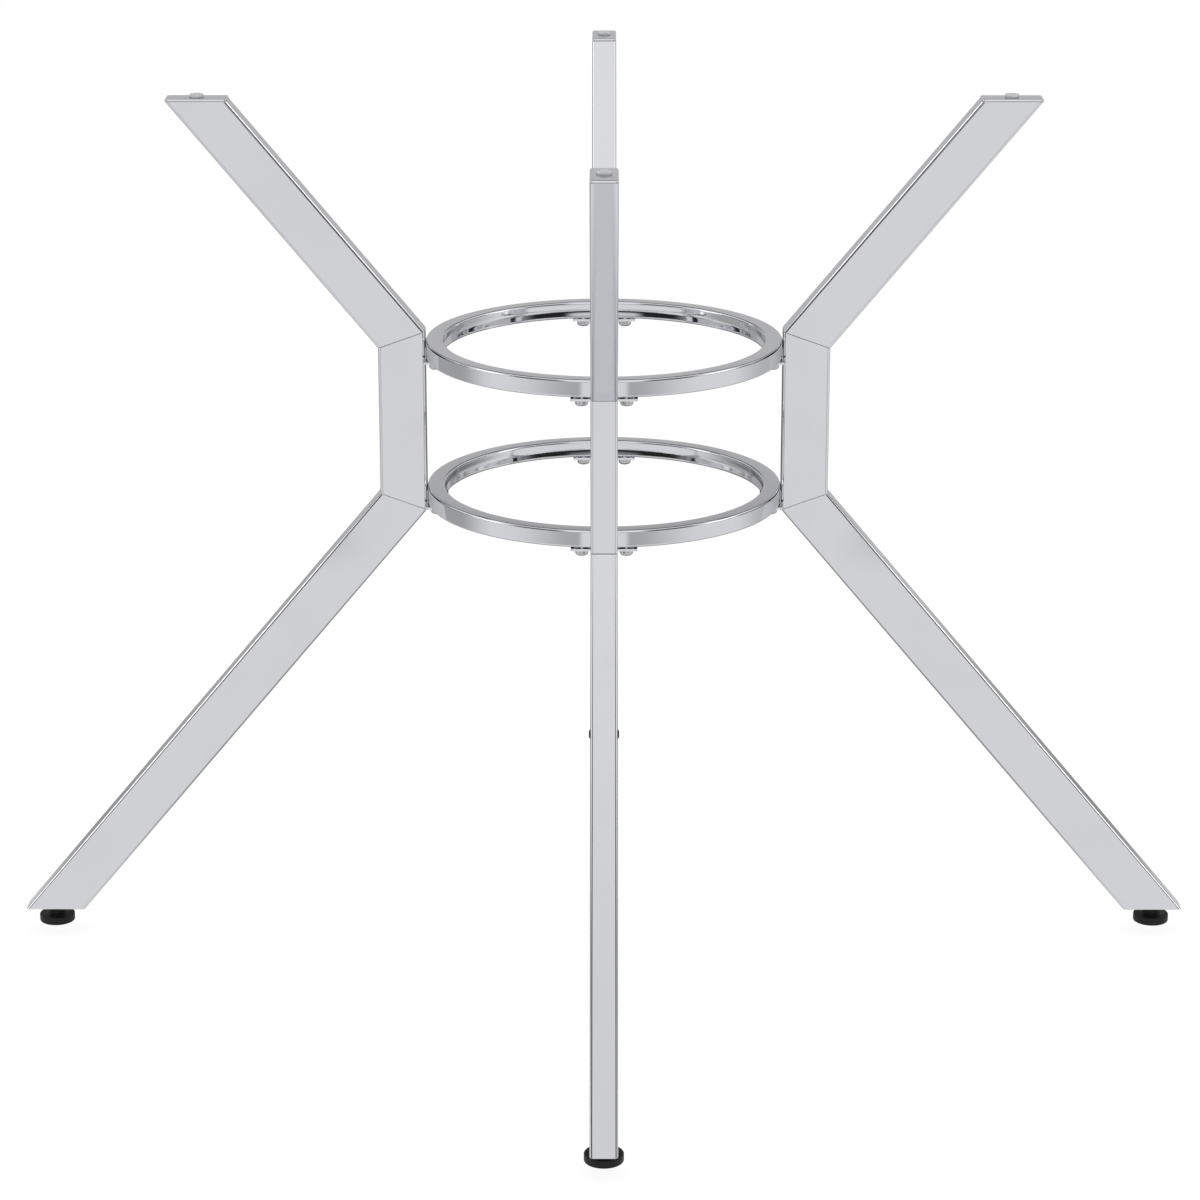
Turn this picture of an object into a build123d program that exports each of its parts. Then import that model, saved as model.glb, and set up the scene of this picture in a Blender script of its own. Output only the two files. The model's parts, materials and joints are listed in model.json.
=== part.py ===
"""Dining table base.

Four legs of rectangular tube stand around two square-tube rings.  Each leg is mitred from an
upper arm, a post and a lower leg.  A plate caps its top, and another is set into its lower end.
The rings are screwed to tabs welded on the posts.  Every leg carries a clear pad for the table
top and a levelling foot.

Millimetres, Z up.  The floor is at zero under the feet and the Z axis runs through the rings.
"""

import os
from math import asin, cos, degrees, radians, sin, sqrt

from build123d import *

# Overall sizes
base_height = 740.0                      # floor to the top of the cap plates
foot_circle = 978.0                      # across the centres of opposite feet
pad_circle = 682.0                       # across the centres of opposite pads
ring_diameter = 304.0                    # outside of both rings
ring_pitch = 127.5                       # from one ring up to the other
arm_rise = 206.0                         # from the top of the upper ring to that of the cap plates
sides = {"right": 0.0, "back": 90.0, "left": 180.0, "front": 270.0}

# Leg tube and its end plates
tube_depth = 40.0                        # in the upright plane of the leg
tube_width = 22.0
tube_wall = 1.2
tube_corner = 2.5
cap_thickness = 2.0
cap_edge = 0.5                           # rounding of the cap's upper edge
foot_plate_thickness = 3.0
foot_plate_clear = 0.1                   # between the set-in plate and the tube

# Rings
ring_side = 15.0
ring_wall = 1.2
ring_corner = 2.0
ring_clear = 0.5                         # between the ring and the posts

# Ring fasteners
thread = 6.0
thread_clear = 0.05                      # radial, around a thread or a shank in its hole
bolt_spacing = 37.0                      # between the two screws of a tab
insert_wall = 1.5                        # of the insert's shank, around the thread
insert_depth = 9.5                       # shank above the underside of the ring
flange_thickness = 0.5                   # of the insert, between ring and tab
flange_lip = 0.7                         # flange beyond the shank
bulge_height = 2.4                       # collar that holds the insert inside the ring
bulge_room = 0.8                         # between that collar and the walls of the ring
washer_diameter = 12.0
washer_thickness = 1.4
head_diameter = 11.0
head_height = 4.1
head_round = 2.6
socket_flats = 4.0
socket_depth = 2.1
tab_thickness = 2.0
tab_margin = 9.0                         # from a screw to the end of the tab
tab_lip = 1.5                            # tab beyond the inner side of the ring
tab_corner = 2.0
hole_clear = 0.3                         # radial, around a screw or a stud in a plate
overcut = 0.6                            # how far a cutter goes past the wall that it opens

# Pads
pad_diameter = 12.0
pad_height = 2.8
pad_edge = 0.9

# Levelling feet
foot_diameter = 31.0
disc_height = 6.8
disc_edge = 1.0
hub_height = 6.4
hub_diameter = 16.0
hub_taper = 1.0
foot_gap = 0.3                           # left between the hub and the plate above it
stud_diameter = 8.0
stud_seat = 3.0                          # floor of the stud's socket in the foot
stud_chamfer = 1.0
stud_stand = 22.0                        # stud above the hub
nut_flats = 13.0
nut_height = 6.5

# Sizes, heights and radii that follow
upper_ring_top = base_height - arm_rise
lower_ring_top = upper_ring_top - ring_pitch
insert_shank = thread + 2 * insert_wall
insert_bulge = ring_side - 2 * (ring_wall + bulge_room)
tab_width = bolt_spacing + 2 * tab_margin
tab_reach = ring_side + ring_clear + tab_lip
post_face = ring_diameter / 2 + ring_clear
post_radius = post_face + tube_depth / 2
ring_middle = (ring_diameter - ring_side) / 2
bolt_angle = degrees(asin(bolt_spacing / 2 / ring_middle))
bolt_reach = sqrt(ring_middle**2 - (bolt_spacing / 2) ** 2)
leg_bottom = disc_height + hub_height + foot_gap

# Centre line of one leg, drawn in the XZ plane
foot_end = Vector(foot_circle / 2, 0, leg_bottom)
lower_knee = Vector(post_radius, 0, lower_ring_top - ring_side)
upper_knee = Vector(post_radius, 0, upper_ring_top)
arm_end = Vector(pad_circle / 2, 0, base_height - cap_thickness)
lower_run = (lower_knee - foot_end).normalized()
post_run = (upper_knee - lower_knee).normalized()
arm_run = (arm_end - upper_knee).normalized()

# Planes that cut the tube, each facing up the leg
foot_cut = Plane(foot_end)
nut_seat = foot_cut.offset(foot_plate_thickness)
lower_mitre = Plane(lower_knee, z_dir=lower_run + post_run)
upper_mitre = Plane(upper_knee, z_dir=post_run + arm_run)
arm_cut = Plane(arm_end)

on_floor = (Align.CENTER, Align.CENTER, Align.MIN)


def tube_length(start, end, start_cut, end_cut):
    """A straight length of leg tube, cut off by a plane at each end."""
    run = (end - start).normalized()
    overrun = 2 * tube_depth
    with BuildPart() as length:
        with BuildSketch(Plane(start - run * overrun, x_dir=(0, 1, 0), z_dir=run)):
            RectangleRounded(tube_width, tube_depth, tube_corner)
            RectangleRounded(
                tube_width - 2 * tube_wall,
                tube_depth - 2 * tube_wall,
                tube_corner - tube_wall,
                mode=Mode.SUBTRACT,
            )
        extrude(amount=(end - start).length + 2 * overrun)
        split(bisect_by=start_cut, keep=Keep.TOP)
        split(bisect_by=end_cut, keep=Keep.BOTTOM)
    return length.part


def ring_tab(ring_top):
    """The tab under a ring, its outer edge on the inner face of the post."""
    top = ring_top - ring_side - flange_thickness
    with BuildPart() as tab:
        with BuildSketch(Plane.XY.offset(top)):
            with Locations((post_face - tab_reach / 2, 0)):
                Rectangle(tab_reach, tab_width)
            with Locations((bolt_reach, bolt_spacing / 2), (bolt_reach, -bolt_spacing / 2)):
                Circle(thread / 2 + hole_clear, mode=Mode.SUBTRACT)
        extrude(amount=-tab_thickness)
        fillet(tab.edges().filter_by(Axis.Z).group_by(Axis.X)[0], tab_corner)
    return tab.part


def bolt_spots(height):
    """Where the screws of a ring stand, two for each leg."""
    spots = []
    for turn in sides.values():
        for angle in (turn - bolt_angle, turn + bolt_angle):
            x = ring_middle * cos(radians(angle))
            y = ring_middle * sin(radians(angle))
            spots.append(Location((x, y, height), (0, 0, angle)))
    return spots


def square_ring(ring_top):
    """A ring of square tube with a hole in its underside for every insert."""
    with BuildPart() as ring:
        with BuildSketch(Plane.XZ):
            with Locations((ring_middle, ring_top - ring_side / 2)):
                RectangleRounded(ring_side, ring_side, ring_corner)
                Rectangle(ring_side - 2 * ring_wall, ring_side - 2 * ring_wall, mode=Mode.SUBTRACT)
        revolve(axis=Axis.Z)
        with Locations(*bolt_spots(ring_top - ring_side)):
            Cylinder(
                insert_shank / 2 + thread_clear,
                2 * (ring_wall + overcut),
                mode=Mode.SUBTRACT,
            )
    return ring.part


# One leg, on the +X side
upper_arm = tube_length(upper_knee, arm_end, upper_mitre, arm_cut)
post = tube_length(lower_knee, upper_knee, lower_mitre, upper_mitre)
lower_leg = tube_length(foot_end, lower_knee, foot_cut, lower_mitre)

with BuildPart() as top_cap:
    with BuildSketch(arm_cut):
        RectangleRounded(tube_depth / arm_run.Z, tube_width, tube_corner)
    extrude(amount=cap_thickness)
    fillet(top_cap.faces().sort_by(Axis.Z)[-1].edges(), cap_edge)

with BuildPart() as foot_plate:
    inset = tube_wall + foot_plate_clear
    with BuildSketch(foot_cut):
        RectangleRounded(
            (tube_depth - 2 * inset) / lower_run.Z,
            tube_width - 2 * inset,
            tube_corner - tube_wall,
        )
    extrude(amount=foot_plate_thickness / lower_run.Z, dir=lower_run)
    with BuildSketch(foot_cut):
        Circle(stud_diameter / 2 + hole_clear)
    extrude(amount=foot_plate_thickness, mode=Mode.SUBTRACT)

with BuildPart() as foot_nut:
    with BuildSketch(nut_seat):
        RegularPolygon(nut_flats / 2, 6, major_radius=False)
        Circle(stud_diameter / 2 + thread_clear, mode=Mode.SUBTRACT)
    extrude(amount=nut_height)

with BuildPart(Plane((pad_circle / 2, 0, base_height))) as pad:
    Cylinder(pad_diameter / 2, pad_height, align=on_floor)
    fillet(pad.edges().sort_by(Axis.Z)[-1], pad_edge)

with BuildPart(Plane((foot_circle / 2, 0, 0))) as foot_base:
    Cylinder(foot_diameter / 2, disc_height, align=on_floor)
    fillet(foot_base.edges().filter_by(GeomType.CIRCLE), disc_edge)
    with Locations((0, 0, disc_height)):
        Cone(hub_diameter / 2, hub_diameter / 2 - hub_taper, hub_height, align=on_floor)
    with Locations((0, 0, stud_seat)):
        Cylinder(
            stud_diameter / 2 + thread_clear,
            disc_height + hub_height,
            align=on_floor,
            mode=Mode.SUBTRACT,
        )

with BuildPart(Plane((foot_circle / 2, 0, stud_seat))) as foot_stud:
    Cylinder(
        stud_diameter / 2,
        disc_height + hub_height + stud_stand - stud_seat,
        align=on_floor,
    )
    chamfer(foot_stud.edges().sort_by(Axis.Z)[-1], stud_chamfer)

leg_pieces = {
    "upper_arm": upper_arm,
    "post": post,
    "lower_leg": lower_leg,
    "top_cap": top_cap.part,
    "foot_plate": foot_plate.part,
    "foot_nut": foot_nut.part,
    "upper_tab": ring_tab(upper_ring_top),
    "lower_tab": ring_tab(lower_ring_top),
    "pad": pad.part,
    "foot_base": foot_base.part,
    "foot_stud": foot_stud.part,
}

# One set of ring fasteners, with the underside of the ring at zero
tab_under = -flange_thickness - tab_thickness

with BuildPart() as insert:
    with Locations((0, 0, -flange_thickness)):
        Cylinder(insert_shank / 2 + flange_lip, flange_thickness, align=on_floor)
        Cylinder(insert_shank / 2, flange_thickness + insert_depth, align=on_floor)
    with Locations((0, 0, ring_wall)):
        Cylinder(insert_bulge / 2, bulge_height, align=on_floor)
    with Locations((0, 0, -flange_thickness)):
        Cylinder(
            thread / 2 + thread_clear,
            flange_thickness + insert_depth,
            align=on_floor,
            mode=Mode.SUBTRACT,
        )

with BuildPart(Plane((0, 0, tab_under - washer_thickness))) as washer:
    Cylinder(washer_diameter / 2, washer_thickness, align=on_floor)
    Cylinder(thread / 2 + hole_clear, washer_thickness, align=on_floor, mode=Mode.SUBTRACT)

with BuildPart(Plane((0, 0, tab_under - washer_thickness - head_height))) as screw:
    Cylinder(head_diameter / 2, head_height, align=on_floor)
    fillet(screw.edges().sort_by(Axis.Z)[0], head_round)
    with BuildSketch():
        RegularPolygon(socket_flats / 2, 6, major_radius=False)
    extrude(amount=socket_depth, mode=Mode.SUBTRACT)
    with Locations((0, 0, head_height)):
        Cylinder(thread / 2, insert_depth - tab_under + washer_thickness, align=on_floor)

ring_pieces = {"inserts": insert.part, "washers": washer.part, "screws": screw.part}


def save(part, node):
    """Label a finished part and write it as a STEP file."""
    part.label = node
    export_step(part, f"parts/{node}.step")


os.makedirs("parts", exist_ok=True)

for side, turn in sides.items():
    for piece, solid in leg_pieces.items():
        with BuildPart() as placed:
            with Locations(Location((0, 0, 0), (0, 0, turn))):
                add(solid)
        save(placed.part, f"{side}_{piece}")

for level, ring_top in {"upper": upper_ring_top, "lower": lower_ring_top}.items():
    save(square_ring(ring_top), f"{level}_ring")
    for piece, solid in ring_pieces.items():
        with BuildPart() as placed:
            with Locations(*bolt_spots(ring_top - ring_side)):
                add(solid)
        save(placed.part, f"{level}_ring_{piece}")
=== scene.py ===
"""Dining table base: bright chrome legs and rings, clear pads and black levelling feet.

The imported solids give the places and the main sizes.  Large pieces, pads and feet are modelled
again here with softly rounded edges, and the small hardware keeps its solids and gets a finish.
"""

import json
import logging
import math
from dataclasses import dataclass
from enum import Enum
from functools import reduce
from operator import add, mul
from typing import Any, Callable, Mapping, Sequence

import bmesh
import bpy
from mathutils import Matrix, Vector


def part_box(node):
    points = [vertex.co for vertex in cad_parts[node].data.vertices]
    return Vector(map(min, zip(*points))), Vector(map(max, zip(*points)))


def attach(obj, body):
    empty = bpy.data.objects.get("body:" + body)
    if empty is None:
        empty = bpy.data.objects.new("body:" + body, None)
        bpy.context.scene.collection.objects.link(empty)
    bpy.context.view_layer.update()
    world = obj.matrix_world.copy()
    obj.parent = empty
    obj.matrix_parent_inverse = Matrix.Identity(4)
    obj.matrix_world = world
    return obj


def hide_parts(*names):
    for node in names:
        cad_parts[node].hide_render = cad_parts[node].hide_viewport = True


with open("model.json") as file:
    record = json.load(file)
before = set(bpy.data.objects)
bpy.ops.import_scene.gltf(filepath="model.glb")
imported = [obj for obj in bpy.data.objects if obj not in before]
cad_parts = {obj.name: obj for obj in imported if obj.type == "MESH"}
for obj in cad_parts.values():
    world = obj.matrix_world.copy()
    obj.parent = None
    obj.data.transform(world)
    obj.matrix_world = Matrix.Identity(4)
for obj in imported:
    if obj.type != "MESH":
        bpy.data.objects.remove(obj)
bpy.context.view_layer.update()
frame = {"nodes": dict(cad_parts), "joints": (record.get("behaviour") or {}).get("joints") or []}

MM = 0.001
SAME_PLACE = 0.001 * MM
WELD = 0.0001 * MM
BROAD_FACES_LEAD = 100
UP = Vector((0.0, 0.0, 1.0))
log = logging.getLogger("table_base")


class Side(Enum):
    """The four legs, each with its turn from the right-hand leg in degrees."""

    RIGHT = 0.0
    BACK = 90.0
    LEFT = 180.0
    FRONT = 270.0

    def node(self, piece: str) -> str:
        """Name of this leg's CAD node for a piece."""
        return f"{self.name.lower()}_{piece}"

    @property
    def foot_body(self) -> str:
        """Name of the body that this leg's foot moves with."""
        return f"{self.name.lower()}_foot"


class Level(Enum):
    """The two rings."""

    UPPER = "upper"
    LOWER = "lower"


class Slot(Enum):
    """Material slots of the record."""

    TUBE = "chrome_tube"
    PLATE = "chrome_plate"
    STEEL = "zinc_steel"
    PAD = "clear_pad"
    FOOT = "black_foot"


@dataclass
class Value:
    """A number socket of a node graph, with arithmetic that adds Math nodes."""

    graph: "Graph"
    socket: bpy.types.NodeSocket

    def _math(self, operation: str, first: Any, second: Any) -> "Value":
        """Add one Math node on two operands and return its result."""
        inputs = {0: first, 1: second}
        return self.graph.value("ShaderNodeMath", {"operation": operation}, inputs)

    def __add__(self, other: Any) -> "Value":
        """Sum."""
        return self._math("ADD", self, other)

    __radd__ = __add__

    def __mul__(self, other: Any) -> "Value":
        """Product."""
        return self._math("MULTIPLY", self, other)

    __rmul__ = __mul__

    def __sub__(self, other: Any) -> "Value":
        """Difference."""
        return self._math("SUBTRACT", self, other)

    def __rsub__(self, other: Any) -> "Value":
        """Reflected difference."""
        return self._math("SUBTRACT", other, self)

    def __truediv__(self, other: Any) -> "Value":
        """Quotient."""
        return self._math("DIVIDE", self, other)

    def __rtruediv__(self, other: Any) -> "Value":
        """Reflected quotient."""
        return self._math("DIVIDE", other, self)

    def size(self) -> "Value":
        """The number without its sign."""
        return self.graph.value("ShaderNodeMath", {"operation": "ABSOLUTE"}, {0: self})


class Graph:
    """A node tree that is filled by one node-making method."""

    # A Mix node's sockets for colours share their names with those for numbers and vectors.
    MIX_COLOURS = (6, 7)
    MIX_RESULT = 2

    def __init__(self, tree: bpy.types.NodeTree) -> None:
        """Start from an empty tree.

        Args:
            tree: The node tree of a material or world.
        """
        self.tree = tree
        tree.nodes.clear()

    def node(
        self,
        kind: str,
        settings: Mapping[str, Any] | None = None,
        inputs: Mapping[Any, Any] | None = None,
    ) -> bpy.types.Node:
        """Make a node.

        Args:
            kind: The node's type.
            settings: Properties that are set first.
            inputs: Values or links of its sockets, by name or number.

        Returns:
            The node.
        """
        made = self.tree.nodes.new(kind)
        for key, setting in (settings or {}).items():
            setattr(made, key, setting)
        for key, given in (inputs or {}).items():
            if isinstance(given, Value):
                self.tree.links.new(given.socket, made.inputs[key])
            else:
                made.inputs[key].default_value = given
        return made

    def value(
        self,
        kind: str,
        settings: Mapping[str, Any] | None = None,
        inputs: Mapping[Any, Any] | None = None,
        output: Any = 0,
    ) -> Value:
        """Make a node and return one of its outputs.

        Args:
            kind: The node's type.
            settings: Properties that are set first.
            inputs: Values or links of its sockets.
            output: Name or number of the output.

        Returns:
            The wrapped output socket.
        """
        return Value(self, self.node(kind, settings, inputs).outputs[output])

    def noise(self, scale: float, detail: float = 2.0) -> Value:
        """Noise over the piece's own coordinates, from 0 to 1.

        Args:
            scale: Blobs for each metre.
            detail: Octaves.

        Returns:
            The noise value.
        """
        place = self.value("ShaderNodeTexCoord", output="Object")
        return self.value(
            "ShaderNodeTexNoise", None, {"Vector": place, "Scale": scale, "Detail": detail}
        )

    def ramp(self, value: Value, none: float, full: float) -> Value:
        """Spread the stretch of a value between two limits over 0 to 1, eased at both ends.

        Args:
            value: The value to spread.
            none: Where the result is 0.
            full: Where the result is 1.

        Returns:
            The clamped result.
        """
        easing = {"interpolation_type": "SMOOTHSTEP"}
        limits = {"Value": value, "From Min": none, "From Max": full}
        return self.value("ShaderNodeMapRange", easing, limits)

    def blend(self, factor: Value, first: Any, second: Any) -> Value:
        """Mix two colours.

        Args:
            factor: Share of the second colour.
            first: Colour at 0.
            second: Colour at 1.

        Returns:
            The mixed colour.
        """
        colours = dict(zip(self.MIX_COLOURS, (first, second)))
        inputs = {"Factor": factor, **colours}
        return self.value("ShaderNodeMix", {"data_type": "RGBA"}, inputs, self.MIX_RESULT)

    def bump(self, height: Value, depth: float, strength: float) -> Value:
        """Bend the shading by a relief.

        Args:
            height: The relief, from 0 to 1.
            depth: Its depth in metres.
            strength: Share of it that shows.

        Returns:
            The normal.
        """
        relief = {"Strength": strength, "Distance": depth, "Height": height}
        return self.value("ShaderNodeBump", None, relief, "Normal")


def grey(level: float) -> tuple[float, float, float, float]:
    """A neutral colour of one level."""
    return (level, level, level, 1.0)


@dataclass(frozen=True)
class Finish:
    """What all finishes share: a named material around one Principled shader."""

    name: str

    def material(self) -> bpy.types.Material:
        """Make the finish, or find it where it is already made.

        Returns:
            The material.
        """
        made = bpy.data.materials.get(self.name)
        if made is None:
            made = bpy.data.materials.new(self.name)
            made.use_nodes = True
            graph = Graph(made.node_tree)
            shader = graph.node("ShaderNodeBsdfPrincipled", None, self.inputs(graph))
            surface = Value(graph, shader.outputs["BSDF"])
            graph.node("ShaderNodeOutputMaterial", None, {"Surface": surface})
        return made

    def inputs(self, graph: Graph) -> dict[str, Any]:
        """Inputs of the Principled shader.

        Args:
            graph: The material's node graph.

        Returns:
            Values and links by socket name.
        """
        raise NotImplementedError


@dataclass(frozen=True)
class ChromePlating(Finish):
    """Bright chrome: a faint ripple from polishing and wiped marks that dull it slightly."""

    tint: tuple[float, float, float] = (0.8, 0.805, 0.835)
    polish: float = 0.035
    mark_scale: float = 16.0
    mark_detail: float = 5.0
    mark_limits: tuple[float, float] = (0.45, 0.8)
    mark_shade: float = 0.97
    mark_dulling: float = 0.05
    ripple_scale: float = 55.0
    ripple_height: float = 0.012 * MM

    def inputs(self, graph: Graph) -> dict[str, Any]:
        """Inputs of the Principled shader.

        Args:
            graph: The material's node graph.

        Returns:
            Values and links by socket name.
        """
        marks = graph.ramp(graph.noise(self.mark_scale, self.mark_detail), *self.mark_limits)
        marked = [channel * self.mark_shade for channel in self.tint]
        return {
            "Base Color": graph.blend(marks, (*self.tint, 1.0), (*marked, 1.0)),
            "Metallic": 1.0,
            "Roughness": marks * self.mark_dulling + self.polish,
            "Normal": graph.bump(graph.noise(self.ripple_scale), self.ripple_height, 1.0),
        }


@dataclass(frozen=True)
class ZincPlating(Finish):
    """Bright zinc-plated steel of the small hardware, faintly mottled."""

    tints: tuple[float, float] = (0.558, 0.682)
    polish: float = 0.06
    mottle_scale: float = 900.0
    mottle_detail: float = 4.0
    mottle_dulling: float = 0.08

    def inputs(self, graph: Graph) -> dict[str, Any]:
        """Inputs of the Principled shader.

        Args:
            graph: The material's node graph.

        Returns:
            Values and links by socket name.
        """
        mottle = graph.noise(self.mottle_scale, self.mottle_detail)
        return {
            "Base Color": graph.blend(mottle, *map(grey, self.tints)),
            "Metallic": 1.0,
            "Roughness": mottle * self.mottle_dulling + self.polish,
        }


@dataclass(frozen=True)
class ClearBumper(Finish):
    """Clear soft plastic, slightly milky and with a faint haze."""

    tint: tuple[float, float, float] = (0.93, 0.95, 0.96)
    haze: float = 0.1
    haze_spread: float = 0.1
    haze_scale: float = 1500.0
    haze_detail: float = 3.0
    clearness: float = 0.12
    refraction: float = 1.43

    def inputs(self, graph: Graph) -> dict[str, Any]:
        """Inputs of the Principled shader.

        Args:
            graph: The material's node graph.

        Returns:
            Values and links by socket name.
        """
        cloud = graph.noise(self.haze_scale, self.haze_detail)
        return {
            "Base Color": (*self.tint, 1.0),
            "Roughness": cloud * self.haze_spread + self.haze,
            "Transmission Weight": self.clearness,
            "IOR": self.refraction,
        }


@dataclass(frozen=True)
class BlackMoulding(Finish):
    """Black moulded plastic with a fine spark-eroded grain."""

    tints: tuple[float, float] = (0.0048, 0.0078)
    tint_scale: float = 300.0
    sheen: float = 0.4
    gloss: float = 0.3
    grain_scale: float = 2600.0
    grain_detail: float = 3.0
    grain_dulling: float = 0.2
    grain_height: float = 0.04 * MM
    grain_strength: float = 0.6

    def inputs(self, graph: Graph) -> dict[str, Any]:
        """Inputs of the Principled shader.

        Args:
            graph: The material's node graph.

        Returns:
            Values and links by socket name.
        """
        grain = graph.noise(self.grain_scale, self.grain_detail)
        return {
            "Base Color": graph.blend(graph.noise(self.tint_scale), *map(grey, self.tints)),
            "Roughness": grain * self.grain_dulling + self.sheen,
            "Specular IOR Level": self.gloss,
            "Normal": graph.bump(grain, self.grain_height, self.grain_strength),
        }


CHROME = ChromePlating("bright_chrome")
ZINC = ZincPlating("zinc_plate")
CLEAR = ClearBumper("clear_bumper")
BLACK = BlackMoulding("black_moulding")


def everything(bm: bmesh.types.BMesh) -> list[Any]:
    """All vertices, edges and faces of a bmesh."""
    return [*bm.verts, *bm.edges, *bm.faces]


def soften(
    bm: bmesh.types.BMesh, edges: Sequence[bmesh.types.BMEdge], radius: float, steps: int
) -> None:
    """Round edges.

    Args:
        bm: The mesh.
        edges: The edges to round.
        radius: Radius of the rounding.
        steps: Segments across it.
    """
    bmesh.ops.bevel(
        bm, geom=list(edges), affect="EDGES", offset=radius, segments=steps, profile=0.5,
        material=-1, clamp_overlap=True,
    )


def rounded_face(
    bm: bmesh.types.BMesh, middle: Vector, length: float, width: float, corner: float, steps: int
) -> bmesh.types.BMFace:
    """Make a level rounded rectangle.

    Args:
        bm: The mesh.
        middle: Its middle.
        length: Size along X.
        width: Size along Y.
        corner: Corner radius.
        steps: Segments of each corner.

    Returns:
        The face, looking up.
    """
    reach = Vector((length / 2, width / 2, 0.0))
    quarters = ((-1, -1), (1, -1), (1, 1), (-1, 1))
    verts = [bm.verts.new(middle + Vector((x * reach.x, y * reach.y, 0.0))) for x, y in quarters]
    bm.faces.new(verts)
    bmesh.ops.bevel(
        bm, geom=verts, affect="VERTICES", offset=corner, segments=steps, profile=0.5, material=-1
    )
    bm.faces.ensure_lookup_table()
    return bm.faces[-1]


def raise_faces(bm: bmesh.types.BMesh, faces: Sequence[bmesh.types.BMFace], height: float) -> None:
    """Extrude level faces straight up into a closed block.

    Args:
        bm: The mesh.
        faces: The faces to extrude.
        height: How far up.
    """
    grown = bmesh.ops.extrude_face_region(bm, geom=list(faces), use_keep_orig=True)["geom"]
    lifted = [g for g in grown if isinstance(g, bmesh.types.BMVert)]
    bmesh.ops.translate(bm, verts=lifted, vec=UP * height)
    bmesh.ops.recalc_face_normals(bm, faces=bm.faces)


def edges_at(bm: bmesh.types.BMesh, test: Callable[[Vector], bool]) -> list[bmesh.types.BMEdge]:
    """Edges with both ends where a test holds."""
    return [e for e in bm.edges if all(test(v.co) for v in e.verts)]


def turned(bm: bmesh.types.BMesh, profile: Sequence[tuple[float, float]], steps: int) -> None:
    """Turn a profile about the Z axis into a closed body.

    Args:
        bm: The mesh.
        profile: Radius and height of its corners, from the axis round to the axis.
        steps: Segments of the turn.
    """
    verts = [bm.verts.new((radius, 0.0, height)) for radius, height in profile]
    edges = [bm.edges.new(pair) for pair in zip(verts, verts[1:])]
    bmesh.ops.spin(
        bm, geom=[*verts, *edges], cent=(0, 0, 0), axis=UP, angle=math.tau,
        steps=steps, use_merge=True,
    )
    bmesh.ops.remove_doubles(bm, verts=bm.verts, dist=WELD)
    bmesh.ops.recalc_face_normals(bm, faces=bm.faces)


def publish(
    bm: bmesh.types.BMesh,
    node: str,
    body: str,
    finish: Finish,
    turn: float = 0.0,
) -> bpy.types.Object:
    """Turn a mesh into a finished piece that stands for a CAD node.

    Args:
        bm: The mesh, which is freed.
        node: The CAD node that the piece replaces.
        body: The body that it moves with.
        finish: What it is covered with.
        turn: Turn about the Z axis in degrees, to the piece's own leg.

    Returns:
        The piece.
    """
    bmesh.ops.rotate(
        bm, verts=bm.verts, cent=(0, 0, 0), matrix=Matrix.Rotation(math.radians(turn), 3, "Z")
    )
    mesh = bpy.data.meshes.new(f"{node}_skin")
    bm.to_mesh(mesh)
    bm.free()
    mesh.shade_smooth()
    mesh.materials.append(finish.material())
    piece = bpy.data.objects.new(f"{node}_skin", mesh)
    bpy.context.scene.collection.objects.link(piece)
    normals = piece.modifiers.new("even_normals", "WEIGHTED_NORMAL")
    normals.mode = "FACE_AREA"
    normals.weight = BROAD_FACES_LEAD
    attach(piece, body)
    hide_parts(node)
    log.info("%s: %d faces", piece.name, len(mesh.polygons))
    return piece


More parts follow.
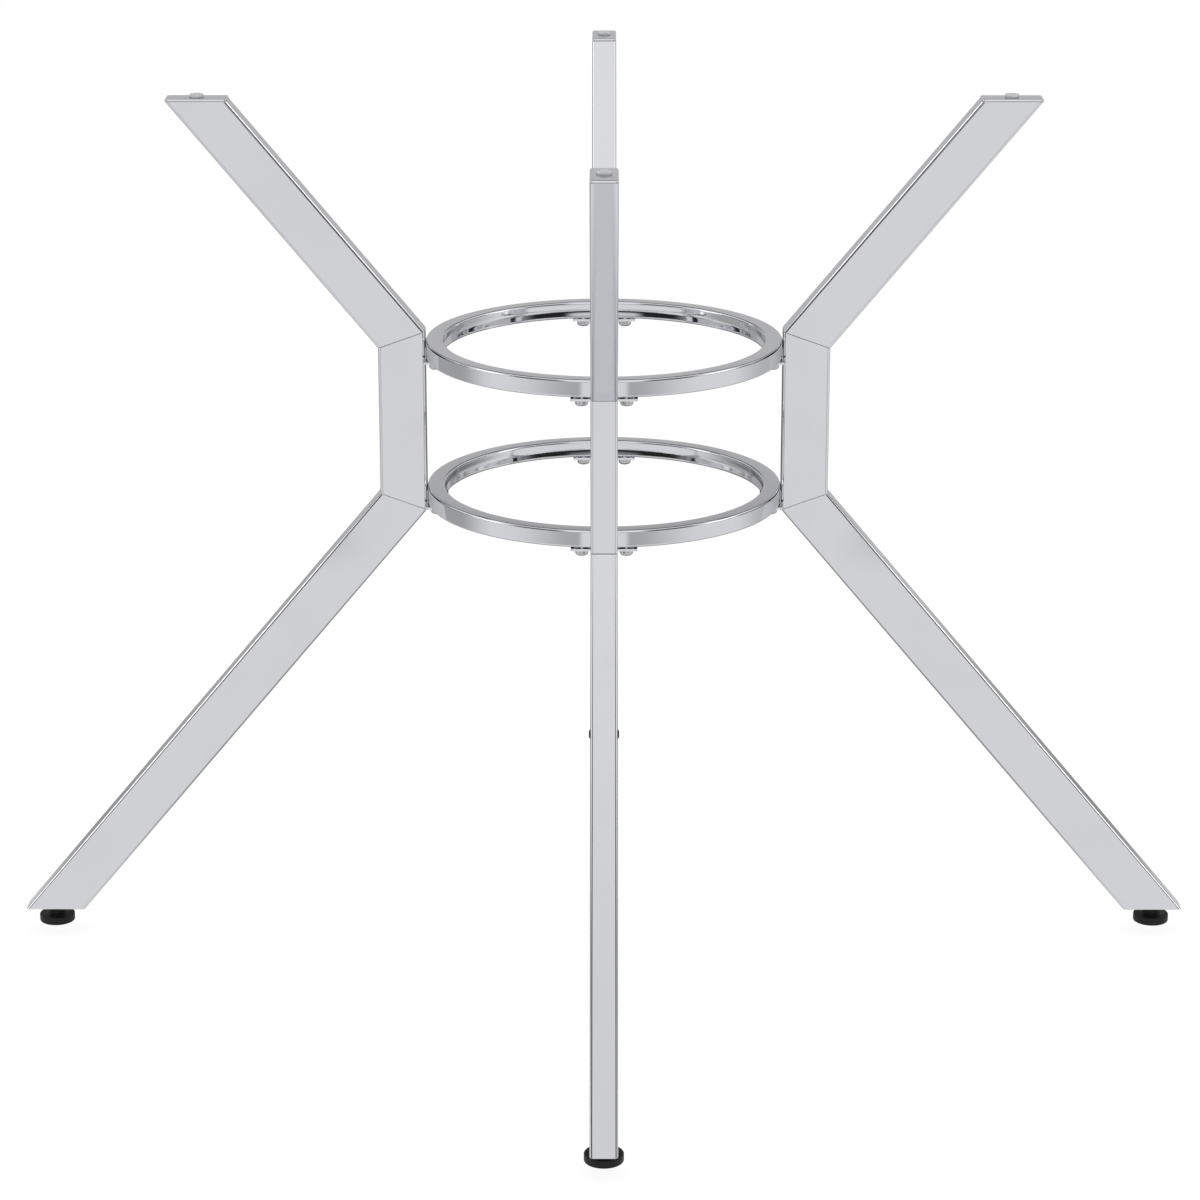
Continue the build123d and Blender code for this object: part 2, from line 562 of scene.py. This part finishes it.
@dataclass(frozen=True)
class LegTubes:
    """One leg's three lengths of tube, read from the right-hand leg and turned to each side."""

    corner: float = 2.5 * MM
    corner_steps: int = 8
    wall: float = 1.2 * MM
    seam: float = 0.4 * MM
    seam_steps: int = 3
    seam_gap: float = 0.18 * MM
    overrun: float = 80 * MM
    hollow: float = 60 * MM

    def build(self, side: Side) -> None:
        """Make a leg's tubes.

        Args:
            side: The leg.
        """
        post_low, post_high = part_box("right_post")
        arm_low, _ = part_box("right_upper_arm")
        leg_low, leg_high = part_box("right_lower_leg")
        cap_low, cap_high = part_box("right_top_cap")
        foot_low, foot_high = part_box("right_foot_base")
        depth = post_high.x - post_low.x
        width = post_high.y - post_low.y
        middle = (post_low.x + post_high.x) / 2
        upper_knee = Vector((middle, 0.0, (post_high.z + arm_low.z) / 2))
        lower_knee = Vector((middle, 0.0, (post_low.z + leg_high.z) / 2))
        arm_end = Vector(((cap_low.x + cap_high.x) / 2, 0.0, cap_low.z))
        foot_end = Vector(((foot_low.x + foot_high.x) / 2, 0.0, leg_low.z))
        lower_run = (lower_knee - foot_end).normalized()
        arm_run = (arm_end - upper_knee).normalized()
        lengths = {
            "lower_leg": (foot_end, lower_knee, UP, lower_run + UP),
            "post": (lower_knee, upper_knee, lower_run + UP, UP + arm_run),
            "upper_arm": (upper_knee, arm_end, UP + arm_run, UP),
        }
        for piece, (start, end, start_cut, end_cut) in lengths.items():
            bm = self.length(start, end, start_cut, end_cut, depth, width)
            publish(bm, side.node(piece), "frame", CHROME, side.value)

    def length(
        self,
        start: Vector,
        end: Vector,
        start_cut: Vector,
        end_cut: Vector,
        depth: float,
        width: float,
    ) -> bmesh.types.BMesh:
        """Make one length of tube with its ends cut to a plane, opened and finely rounded.

        Args:
            start: Lower end of the centre line.
            end: Upper end of the centre line.
            start_cut: Normal of the lower cut, up the leg.
            end_cut: Normal of the upper cut, up the leg.
            depth: Size of the section in the leg's plane.
            width: Size of the section across it.

        Returns:
            The mesh.
        """
        run = (end - start).normalized()
        bm = bmesh.new()
        foot = Vector((0.0, 0.0, -self.overrun))
        section = rounded_face(bm, foot, depth, width, self.corner, self.corner_steps)
        raise_faces(bm, [section], (end - start).length + 2 * self.overrun)
        across = Vector((0.0, 1.0, 0.0))
        aim = Matrix((across.cross(run), across, run)).transposed().to_4x4()
        bmesh.ops.transform(bm, matrix=Matrix.Translation(start) @ aim, verts=bm.verts)
        cuts = (
            (start + start_cut.normalized() * self.seam_gap, start_cut, "clear_inner"),
            (end - end_cut.normalized() * self.seam_gap, end_cut, "clear_outer"),
        )
        for place, normal, drop in cuts:
            bmesh.ops.bisect_plane(
                bm, geom=everything(bm), dist=WELD, plane_co=place, plane_no=normal, **{drop: True}
            )
        open_edges = [e for e in bm.edges if e.is_boundary]
        ends = bmesh.ops.holes_fill(bm, edges=open_edges, sides=0)["faces"]
        bmesh.ops.recalc_face_normals(bm, faces=bm.faces)
        rims = [e for face in ends for e in face.edges]
        bmesh.ops.inset_individual(bm, faces=ends, thickness=self.wall, use_even_offset=True)
        for face in ends:
            inward = run if face.normal.dot(run) < 0.0 else -run
            sunk = bmesh.ops.extrude_face_region(bm, geom=[face])["geom"]
            bmesh.ops.delete(bm, geom=[face], context="FACES_ONLY")
            floor = [g for g in sunk if isinstance(g, bmesh.types.BMVert)]
            bmesh.ops.translate(bm, verts=floor, vec=inward * self.hollow)
        bmesh.ops.recalc_face_normals(bm, faces=bm.faces)
        soften(bm, rims, self.seam, self.seam_steps)
        return bm


@dataclass(frozen=True)
class Plate:
    """A flat plate with rounded corners, round holes and softened edges above and below."""

    corner: float
    edge: float
    under_edge: float
    corner_steps: int = 8
    edge_steps: int = 4
    hole_steps: int = 40
    outline_angle: float = math.radians(60.0)
    hole_rim: float = 1.05

    def mesh(
        self, low: Vector, high: Vector, holes: Sequence[tuple[Vector, float]] = ()
    ) -> bmesh.types.BMesh:
        """Make the plate.

        Args:
            low: Lowest corner of its box.
            high: Highest corner of its box.
            holes: Middle and radius of each hole.

        Returns:
            The mesh.
        """
        bm = bmesh.new()
        middle = Vector(((low.x + high.x) / 2, (low.y + high.y) / 2, low.z))
        size = high - low
        face = rounded_face(bm, middle, size.x, size.y, self.corner, self.corner_steps)
        faces = [face]
        if holes:
            bmesh.ops.delete(bm, geom=[face], context="FACES_ONLY")
            for place, radius in holes:
                at = Matrix.Translation((place.x, place.y, low.z))
                bmesh.ops.create_circle(bm, segments=self.hole_steps, radius=radius, matrix=at)
            filled = bmesh.ops.triangle_fill(
                bm, use_beauty=True, use_dissolve=False, edges=bm.edges[:], normal=UP
            )
            faces = [g for g in filled["geom"] if isinstance(g, bmesh.types.BMFace)]
        raise_faces(bm, faces, size.z)
        for height, radius in ((low.z, self.under_edge), (high.z, self.edge)):
            outline = [e for e in bm.edges if self.on_outline(e, height, holes)]
            soften(bm, outline, radius, self.edge_steps)
        return bm

    def on_outline(
        self, edge: bmesh.types.BMEdge, height: float, holes: Sequence[tuple[Vector, float]]
    ) -> bool:
        """Tell the plate's outline from its other edges and from the rims of its holes.

        Args:
            edge: The edge.
            height: Height of the plate's face.
            holes: Middle and radius of each hole.

        Returns:
            Whether the edge lies on the outline of that face.
        """
        level = all(abs(v.co.z - height) < SAME_PLACE for v in edge.verts)
        sharp = len(edge.link_faces) == 2 and edge.calc_face_angle() > self.outline_angle
        clear = all(
            (v.co - place).xy.length > radius * self.hole_rim
            for v in edge.verts
            for place, radius in holes
        )
        return level and sharp and clear


@dataclass(frozen=True)
class TopCaps:
    """The level plates that close the legs at the top."""

    plate: Plate = Plate(corner=2.5 * MM, edge=1.5 * MM, under_edge=0.2 * MM)

    def build(self, side: Side) -> None:
        """Make a leg's cap plate.

        Args:
            side: The leg.
        """
        cap = self.plate.mesh(*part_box("right_top_cap"))
        publish(cap, side.node("top_cap"), "frame", CHROME, side.value)


@dataclass(frozen=True)
class RingTabs:
    """The tabs that carry the rings, welded to the inner face of a post."""

    plate: Plate = Plate(corner=1.2 * MM, edge=0.35 * MM, under_edge=0.35 * MM)
    hole: float = 3.3 * MM
    hole_margin: float = 9.0 * MM
    washer_radius: float = 6.0 * MM

    def build(self, side: Side) -> None:
        """Make a leg's two tabs, with a hole for each screw.

        Args:
            side: The leg.
        """
        for level in Level:
            piece = f"{level.value}_tab"
            low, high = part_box(f"right_{piece}")
            _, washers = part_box(f"{level.value}_ring_washers")
            holes = [
                (Vector((washers.x - self.washer_radius, across, low.z)), self.hole)
                for across in (low.y + self.hole_margin, high.y - self.hole_margin)
            ]
            tab = self.plate.mesh(low, high, holes)
            publish(tab, side.node(piece), "frame", CHROME, side.value)


@dataclass(frozen=True)
class SquareRings:
    """The two rings of square tube, their inner wall creased by the bending."""

    corner: float = 2.0 * MM
    corner_steps: int = 6
    steps: int = 256
    crease: float = 1.0 * MM
    crease_round: float = 1.0 * MM
    crease_cuts: int = 15

    def build(self, level: Level) -> None:
        """Make one ring.

        Args:
            level: Which ring.
        """
        node = f"{level.value}_ring"
        low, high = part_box(node)
        side = high.z - low.z
        bm = bmesh.new()
        section = rounded_face(bm, Vector(), side, side, self.corner, self.corner_steps)
        wall = edges_at(bm, lambda p: p.x < SAME_PLACE - side / 2)
        bmesh.ops.subdivide_edges(bm, edges=wall, cuts=self.crease_cuts)
        fall = math.hypot(side / 2 - self.corner, self.crease_round) - self.crease_round
        for vert in bm.verts:
            if vert.co.x < SAME_PLACE - side / 2:
                slope = math.hypot(vert.co.y, self.crease_round) - self.crease_round
                vert.co.x += self.crease * (1.0 - slope / fall)
        bmesh.ops.delete(bm, geom=[section], context="FACES_ONLY")
        upright = Matrix.Rotation(math.radians(90.0), 4, "X")
        place = Matrix.Translation((high.x - side / 2, 0.0, low.z + side / 2))
        bmesh.ops.transform(bm, matrix=place @ upright, verts=bm.verts)
        bmesh.ops.spin(
            bm, geom=[*bm.verts, *bm.edges], cent=(0, 0, 0), axis=UP, angle=math.tau,
            steps=self.steps, use_merge=True,
        )
        bmesh.ops.recalc_face_normals(bm, faces=bm.faces)
        publish(bm, node, "frame", CHROME)


@dataclass(frozen=True)
class Pads:
    """Clear round bumpers on the cap plates."""

    edge: float = 0.9 * MM
    edge_steps: int = 6
    steps: int = 64

    def build(self, side: Side) -> None:
        """Make a leg's pad.

        Args:
            side: The leg.
        """
        low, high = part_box("right_pad")
        radius = (high.y - low.y) / 2
        height = high.z - low.z
        bm = bmesh.new()
        turned(bm, [(0.0, 0.0), (radius, 0.0), (radius, height), (0.0, height)], self.steps)
        rim = radius - SAME_PLACE
        top = edges_at(bm, lambda p: p.z > SAME_PLACE and p.xy.length > rim)
        soften(bm, top, self.edge, self.edge_steps)
        bmesh.ops.translate(bm, verts=bm.verts, vec=((low.x + high.x) / 2, 0.0, low.z))
        publish(bm, side.node("pad"), "frame", CLEAR, side.value)


@dataclass(frozen=True)
class LevellingFeet:
    """Black moulded feet on threaded studs."""

    disc_height: float = 6.8 * MM
    hub_low: float = 8.0 * MM
    hub_high: float = 7.0 * MM
    socket: float = 4.05 * MM
    socket_floor: float = 3.0 * MM
    edge: float = 1.0 * MM
    fine_edge: float = 0.4 * MM
    edge_steps: int = 5
    steps: int = 96
    thread_pitch: float = 1.25 * MM
    thread_depth: float = 0.6 * MM
    thread_root: tuple[float, float] = (0.0, 0.15)
    thread_crest: tuple[float, float] = (0.5, 0.65)
    thread_steps: int = 40

    def build(self, side: Side) -> None:
        """Make a leg's foot and stud.

        Args:
            side: The leg.
        """
        low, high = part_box("right_foot_base")
        place = ((low.x + high.x) / 2, 0.0, 0.0)
        base = self.base((high.y - low.y) / 2, high.z)
        bmesh.ops.translate(base, verts=base.verts, vec=place)
        publish(base, side.node("foot_base"), side.foot_body, BLACK, side.value)
        low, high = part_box("right_foot_stud")
        stud = self.stud((high.y - low.y) / 2, low.z, high.z)
        bmesh.ops.translate(stud, verts=stud.verts, vec=place)
        publish(stud, side.node("foot_stud"), side.foot_body, ZINC, side.value)

    def base(self, radius: float, height: float) -> bmesh.types.BMesh:
        """Make the moulded foot: a disc, a tapered hub and the stud's socket.

        Args:
            radius: Of the disc.
            height: Over all.

        Returns:
            The mesh.
        """
        bm = bmesh.new()
        corners = [
            (0.0, 0.0),
            (radius, 0.0),
            (radius, self.disc_height),
            (self.hub_low, self.disc_height),
            (self.hub_high, height),
            (self.socket, height),
            (self.socket, self.socket_floor),
            (0.0, self.socket_floor),
        ]
        turned(bm, corners, self.steps)
        side = edges_at(bm, lambda p: p.xy.length > radius - SAME_PLACE)
        rims = [e for e in side if abs(e.verts[0].co.z - e.verts[1].co.z) < SAME_PLACE]
        soften(bm, rims, self.edge, self.edge_steps)
        top = edges_at(bm, lambda p: p.z > height - SAME_PLACE)
        hub = [e for e in top if all(v.co.xy.length > self.hub_high - SAME_PLACE for v in e.verts)]
        soften(bm, hub, self.fine_edge, self.edge_steps)
        return bm

    def stud(self, radius: float, bottom: float, top: float) -> bmesh.types.BMesh:
        """Make the stud with a real thread.

        Args:
            radius: Over the thread.
            bottom: Height of its lower end.
            top: Height of its upper end.

        Returns:
            The mesh.
        """
        bm = bmesh.new()
        turns = math.ceil((top - bottom) / self.thread_pitch) + 2
        start = bottom - self.thread_pitch
        root = radius - self.thread_depth
        form = [(root, part) for part in self.thread_root]
        form += [(radius, part) for part in self.thread_crest]
        verts = [
            bm.verts.new((out, 0.0, start + (index + part) * self.thread_pitch))
            for index in range(turns)
            for out, part in form
        ]
        edges = [bm.edges.new(pair) for pair in zip(verts, verts[1:])]
        bmesh.ops.spin(
            bm, geom=[*verts, *edges], cent=(0, 0, 0), axis=UP, angle=math.tau,
            dvec=UP * (self.thread_pitch / self.thread_steps), steps=self.thread_steps,
        )
        bmesh.ops.remove_doubles(bm, verts=bm.verts, dist=SAME_PLACE)
        for height, drop in ((bottom, "clear_inner"), (top, "clear_outer")):
            place = UP * height
            bmesh.ops.bisect_plane(
                bm, geom=everything(bm), dist=WELD, plane_co=place, plane_no=UP, **{drop: True}
            )
        bmesh.ops.holes_fill(bm, edges=[e for e in bm.edges if e.is_boundary], sides=0)
        bmesh.ops.recalc_face_normals(bm, faces=bm.faces)
        return bm


@dataclass(frozen=True)
class Hardware:
    """Small pieces inside the legs and under the rings that keep their solids and get a finish."""

    ring_pieces: tuple[str, ...] = ("ring_inserts", "ring_washers", "ring_screws")

    def dress(self) -> None:
        """Cover the fasteners with zinc plate and the plates in the lower ends with chrome."""
        nodes = {f"{level.value}_{piece}": ZINC for level in Level for piece in self.ring_pieces}
        nodes |= {side.node("foot_nut"): ZINC for side in Side}
        nodes |= {side.node("foot_plate"): CHROME for side in Side}
        for node, finish in nodes.items():
            mesh = frame["nodes"][node].data
            mesh.materials.clear()
            mesh.materials.append(finish.material())
            log.info("%s: %s", node, finish.name)


class Measure(Enum):
    """What places a patch: metres over the floor, or parts of a direction around the room."""

    ACROSS = "to the right"
    ASIDE = "to either side"
    BEHIND = "to the back, on the floor as a share of the reach"
    BEARING = "to either side, as a share of the reach"
    REACH = "from the middle of the base"
    # Measured from the middle of the painted shadow under the base.
    BENEATH = "from the middle of the shade under the base"
    RISE = "up"
    LEAN = "to either side and a little up"
    STEEP = "to the back and down"
    SLANT = "to the back and inwards"


@dataclass(frozen=True)
class Limit:
    """A soft limit: none of a patch shows at one value of a measure, and all of it at another."""

    measure: Measure
    none: float
    full: float

    def share(self, measured: Mapping[Measure, Value]) -> Value:
        """How much this limit lets show."""
        value = measured[self.measure]
        return value.graph.ramp(value, self.none, self.full)


@dataclass(frozen=True)
class Patch:
    """One grey, laid where all of its soft limits let it show."""

    level: float
    limits: tuple[Limit, ...]

    def share(self, measured: Mapping[Measure, Value]) -> Value:
        """How much of the patch shows."""
        return reduce(mul, [limit.share(measured) for limit in self.limits])

    def over(self, ground: Any, measured: Mapping[Measure, Value]) -> Value:
        """Lay the patch over a colour.

        Args:
            ground: The colour.
            measured: The measures that its limits name.

        Returns:
            The colour with the patch on it.
        """
        share = self.share(measured)
        return share.graph.blend(share, ground, grey(self.level))


DARK = 0.02


@dataclass(frozen=True)
class PaintedFloorReflection:
    """Painted reflection of the floor, as the chrome mirrors it: lit paper in front, greyer behind
    and beneath.
    """

    paper: float = 0.785
    # Painted shade: greyer patches of the mirrored floor at both sides.
    flanks: Patch = Patch(
        0.46,
        (
            Limit(Measure.BEARING, 0.21, 0.28),
            Limit(Measure.BEARING, 0.95, 0.3),
            Limit(Measure.REACH, 1.15, 1.4),
            Limit(Measure.REACH, 3.5, 2.5),
        ),
    )
    back: float = 0.19
    back_start: Limit = Limit(Measure.BEHIND, -0.05, 0.45)
    far: float = 0.52
    far_aside: Limit = Limit(Measure.ASIDE, 0.4, 1.1)
    far_off: Limit = Limit(Measure.REACH, 1.5, 5.0)
    # Painted shade: a greyer patch of the mirrored floor to the left.
    left: Patch = Patch(
        0.4,
        (
            Limit(Measure.ACROSS, -0.5, -0.9),
            Limit(Measure.BEHIND, -0.25, 0.2),
            Limit(Measure.REACH, 4.0, 2.5),
        ),
    )
    # Painted shadow: the mirrored floor darkens around a point just behind the middle of the base.
    shade: Patch = Patch(0.32, (Limit(Measure.BENEATH, 0.55, 0.3),))
    shade_middle: tuple[float, float, float] = (0.0, 0.15, 0.0)
    # Painted shade: a near-black patch of the mirrored floor straight behind the base, 2.2 to 3.5
    # m away.
    painted_shade_behind: Patch = Patch(
        0.07,
        (
            Limit(Measure.BEHIND, 0.66, 0.74),
            Limit(Measure.ASIDE, 0.5, 0.3),
            Limit(Measure.REACH, 3.5, 2.2),
        ),
    )
    past_edge: Patch = Patch(
        DARK, (Limit(Measure.REACH, 8.0, 13.0), Limit(Measure.BEHIND, 0.2, -0.3))
    )
    middle_ease: float = 0.5

    def measured(self, graph: Graph) -> dict[Measure, Value]:
        """Measure the places of the floor.

        Args:
            graph: The floor's node graph.

        Returns:
            The measures by name.
        """
        place = graph.value("ShaderNodeTexCoord", output="Object")
        parts = graph.node("ShaderNodeSeparateXYZ", None, {0: place})
        across = Value(graph, parts.outputs["X"])
        back = Value(graph, parts.outputs["Y"])
        length, apart = {"operation": "LENGTH"}, {"operation": "DISTANCE"}
        reach = graph.value("ShaderNodeVectorMath", length, {0: place}, "Value")
        ends = {0: place, 1: self.shade_middle}
        return {
            Measure.ACROSS: across,
            Measure.ASIDE: across.size(),
            Measure.BEHIND: back / (reach + self.middle_ease),
            Measure.BEARING: across.size() / reach,
            Measure.REACH: reach,
            Measure.BENEATH: graph.value("ShaderNodeVectorMath", apart, ends, "Value"),
        }

    def colour(self, graph: Graph) -> Value:
        """Lay out the painted greys of the floor's reflection.

        Args:
            graph: The floor's node graph.

        Returns:
            The colour at each place.
        """
        measured = self.measured(graph)
        front = self.flanks.over(grey(self.paper), measured)
        away = self.far_aside.share(measured) + self.far_off.share(measured)
        back = graph.blend(away, grey(self.back), grey(self.far))
        colour = graph.blend(self.back_start.share(measured), front, back)
        for patch in (self.left, self.shade, self.painted_shade_behind, self.past_edge):
            colour = patch.over(colour, measured)
        return colour


@dataclass(frozen=True)
class Room:
    """The room as the chrome mirrors it: grey walls, a pale ceiling, lamps and dark strips.

    The wall behind the camera is dark, with a lit panel in it.  A lamp stands at either side.
    """

    wall: float = 0.51
    wall_start: Limit = Limit(Measure.BEHIND, -0.65, -0.3)
    ceiling: float = 0.88
    ceiling_edge: float = 0.75
    ceiling_middle: Limit = Limit(Measure.RISE, 0.8, 0.95)
    ceiling_start: tuple[float, float] = (0.48, 0.62)
    ceiling_dip: float = 0.12
    panel: Patch = Patch(
        1.0,
        (
            Limit(Measure.ASIDE, 0.5, 0.35),
            Limit(Measure.BEHIND, -0.3, -0.45),
            Limit(Measure.RISE, 0.12, 0.22),
            Limit(Measure.RISE, 0.76, 0.62),
        ),
    )
    lamps: Patch = Patch(
        2.2,
        (
            Limit(Measure.LEAN, 0.9, 0.98),
            Limit(Measure.RISE, 0.2, 0.27),
            Limit(Measure.STEEP, -0.58, -0.66),
        ),
    )
    between_lamps: Patch = Patch(
        DARK,
        (
            Limit(Measure.SLANT, -0.84, -0.79),
            Limit(Measure.SLANT, -0.57, -0.62),
            Limit(Measure.ASIDE, 0.3, 0.4),
            Limit(Measure.RISE, 0.47, 0.52),
        ),
    )
    lamp_gap: Patch = Patch(
        DARK,
        (
            Limit(Measure.ASIDE, 0.78, 0.84),
            Limit(Measure.RISE, 0.39, 0.43),
            Limit(Measure.RISE, 0.53, 0.5),
        ),
    )
    hood: Patch = Patch(
        DARK,
        (
            Limit(Measure.ASIDE, 0.4, 0.25),
            Limit(Measure.BEHIND, 0.3, 0.4),
            Limit(Measure.RISE, 0.23, 0.42),
        ),
    )
    skirting: Patch = Patch(
        DARK,
        (
            Limit(Measure.ASIDE, 0.6, 0.75),
            Limit(Measure.RISE, 0.22, 0.14),
            Limit(Measure.BEHIND, 0.0, 0.15),
        ),
    )
    lean: float = 0.3
    steepness: float = 2.0
    slant: float = 0.53

    def measured(self, graph: Graph) -> dict[Measure, Value]:
        """Measure the directions around the room.

        Args:
            graph: The world's node graph.

        Returns:
            The measures by name.
        """
        way = graph.value("ShaderNodeTexCoord", output="Generated")
        parts = graph.node("ShaderNodeSeparateXYZ", None, {0: way})
        aside = Value(graph, parts.outputs["X"]).size()
        back = Value(graph, parts.outputs["Y"])
        rise = Value(graph, parts.outputs["Z"])
        return {
            Measure.ASIDE: aside,
            Measure.BEHIND: back,
            Measure.RISE: rise,
            Measure.LEAN: rise * self.lean + aside,
            Measure.STEEP: back - rise * self.steepness,
            Measure.SLANT: back - aside * self.slant,
        }

    def colour(self, graph: Graph) -> Value:
        """Lay out the greys of the room.

        Args:
            graph: The world's node graph.

        Returns:
            The colour in each direction.
        """
        measured = self.measured(graph)
        sides = self.wall_start.share(measured)
        walls = graph.blend(sides, grey(DARK), grey(self.wall))
        middle = self.ceiling_middle.share(measured)
        ceiling = graph.blend(middle, grey(self.ceiling_edge), grey(self.ceiling))
        height = sides * self.ceiling_dip + measured[Measure.RISE]
        colour = graph.blend(graph.ramp(height, *self.ceiling_start), walls, ceiling)
        for patch in (self.panel, self.lamps):
            colour = patch.over(colour, measured)
        strips = (self.between_lamps, self.lamp_gap, self.hood, self.skirting)
        dark = reduce(add, [strip.share(measured) for strip in strips])
        return graph.blend(dark, colour, grey(DARK))


@dataclass(frozen=True)
class Studio:
    """Floor, light and camera."""

    camera_place: tuple[float, float, float] = (0.0, -3.104, 1.2686)
    camera_pitch: float = 17.34
    camera_yaw: float = 0.065
    camera_focus_px: float = 3732.0
    camera_reach: float = 200.0
    image_px: float = 1200.0
    sensor_mm: float = 36.0
    floor_reach: float = 60.0
    floor_clear: float = 0.2 * MM
    floor_shade: float = 0.14
    floor_glow: float = 0.92
    # Painted reflection of the floor, which only the chrome sees.
    paper: PaintedFloorReflection = PaintedFloorReflection()
    room: Room = Room()

    def build(self) -> None:
        """Set up the studio."""
        self.floor()
        self.light()
        self.camera()

    def floor(self) -> None:
        """Lay a plain pale floor, just under the lowest reach of the feet."""
        travel = max(joint["range_m"][1] for joint in frame["joints"])
        bm = bmesh.new()
        at = Matrix.Translation((0.0, 0.0, -travel - self.floor_clear))
        bmesh.ops.create_grid(bm, x_segments=1, y_segments=1, size=self.floor_reach, matrix=at)
        mesh = bpy.data.meshes.new("floor")
        bm.to_mesh(mesh)
        bm.free()
        mesh.materials.append(self.floor_material())
        floor = bpy.data.objects.new("floor", mesh)
        bpy.context.scene.collection.objects.link(floor)

    def floor_material(self) -> bpy.types.Material:
        """Make a white floor that the chrome sees as a painted reflection of lit paper and shade.

        Returns:
            The material.
        """
        material = bpy.data.materials.new("pale_floor")
        material.use_nodes = True
        graph = Graph(material.node_tree)
        # Painted reflection: an emission of painted greys, lit paper and painted shade, in place
        # of the floor.
        lit = graph.value("ShaderNodeEmission", None, {"Color": self.paper.colour(graph)})
        plain = graph.value(
            "ShaderNodeBsdfPrincipled",
            None,
            {
                "Base Color": grey(self.floor_shade),
                "Roughness": 1.0,
                "Specular IOR Level": 0.0,
                "Emission Color": grey(1.0),
                "Emission Strength": self.floor_glow,
            },
        )
        # Glossy rays see the painted reflection; the camera and all other rays see the plain
        # glowing floor.
        mirrored = graph.value("ShaderNodeLightPath", output="Is Glossy Ray")
        surface = graph.value("ShaderNodeMixShader", None, {0: mirrored, 1: plain, 2: lit})
        graph.node("ShaderNodeOutputMaterial", None, {"Surface": surface})
        return material

    def light(self) -> None:
        """Light the base by the room, and show plain white behind it."""
        world = bpy.data.worlds.new("studio")
        bpy.context.scene.world = world
        world.use_nodes = True
        graph = Graph(world.node_tree)
        seen = graph.value("ShaderNodeLightPath", output="Is Camera Ray")
        shown = graph.blend(seen, self.room.colour(graph), grey(1.0))
        sky = graph.value("ShaderNodeBackground", None, {"Color": shown, "Strength": 1.0})
        graph.node("ShaderNodeOutputWorld", None, {"Surface": sky})
        bpy.context.scene.view_settings.view_transform = "Standard"

    def camera(self) -> None:
        """Place a long lens at the photograph's viewing angle."""
        data = bpy.data.cameras.new("camera")
        data.sensor_width = self.sensor_mm
        data.lens = self.camera_focus_px / self.image_px * self.sensor_mm
        data.clip_end = self.camera_reach
        camera = bpy.data.objects.new("camera", data)
        camera.location = self.camera_place
        camera.rotation_euler = (
            math.radians(90.0 - self.camera_pitch), 0.0, math.radians(self.camera_yaw)
        )
        bpy.context.scene.collection.objects.link(camera)
        bpy.context.scene.camera = camera


def main() -> None:
    """Build and dress the table base."""
    logging.basicConfig(level=logging.INFO, format="%(name)s %(message)s")
    for side in Side:
        LegTubes().build(side)
        TopCaps().build(side)
        RingTabs().build(side)
        Pads().build(side)
        LevellingFeet().build(side)
    for level in Level:
        SquareRings().build(level)
    Hardware().dress()
    Studio().build()


if __name__ == "__main__":
    main()
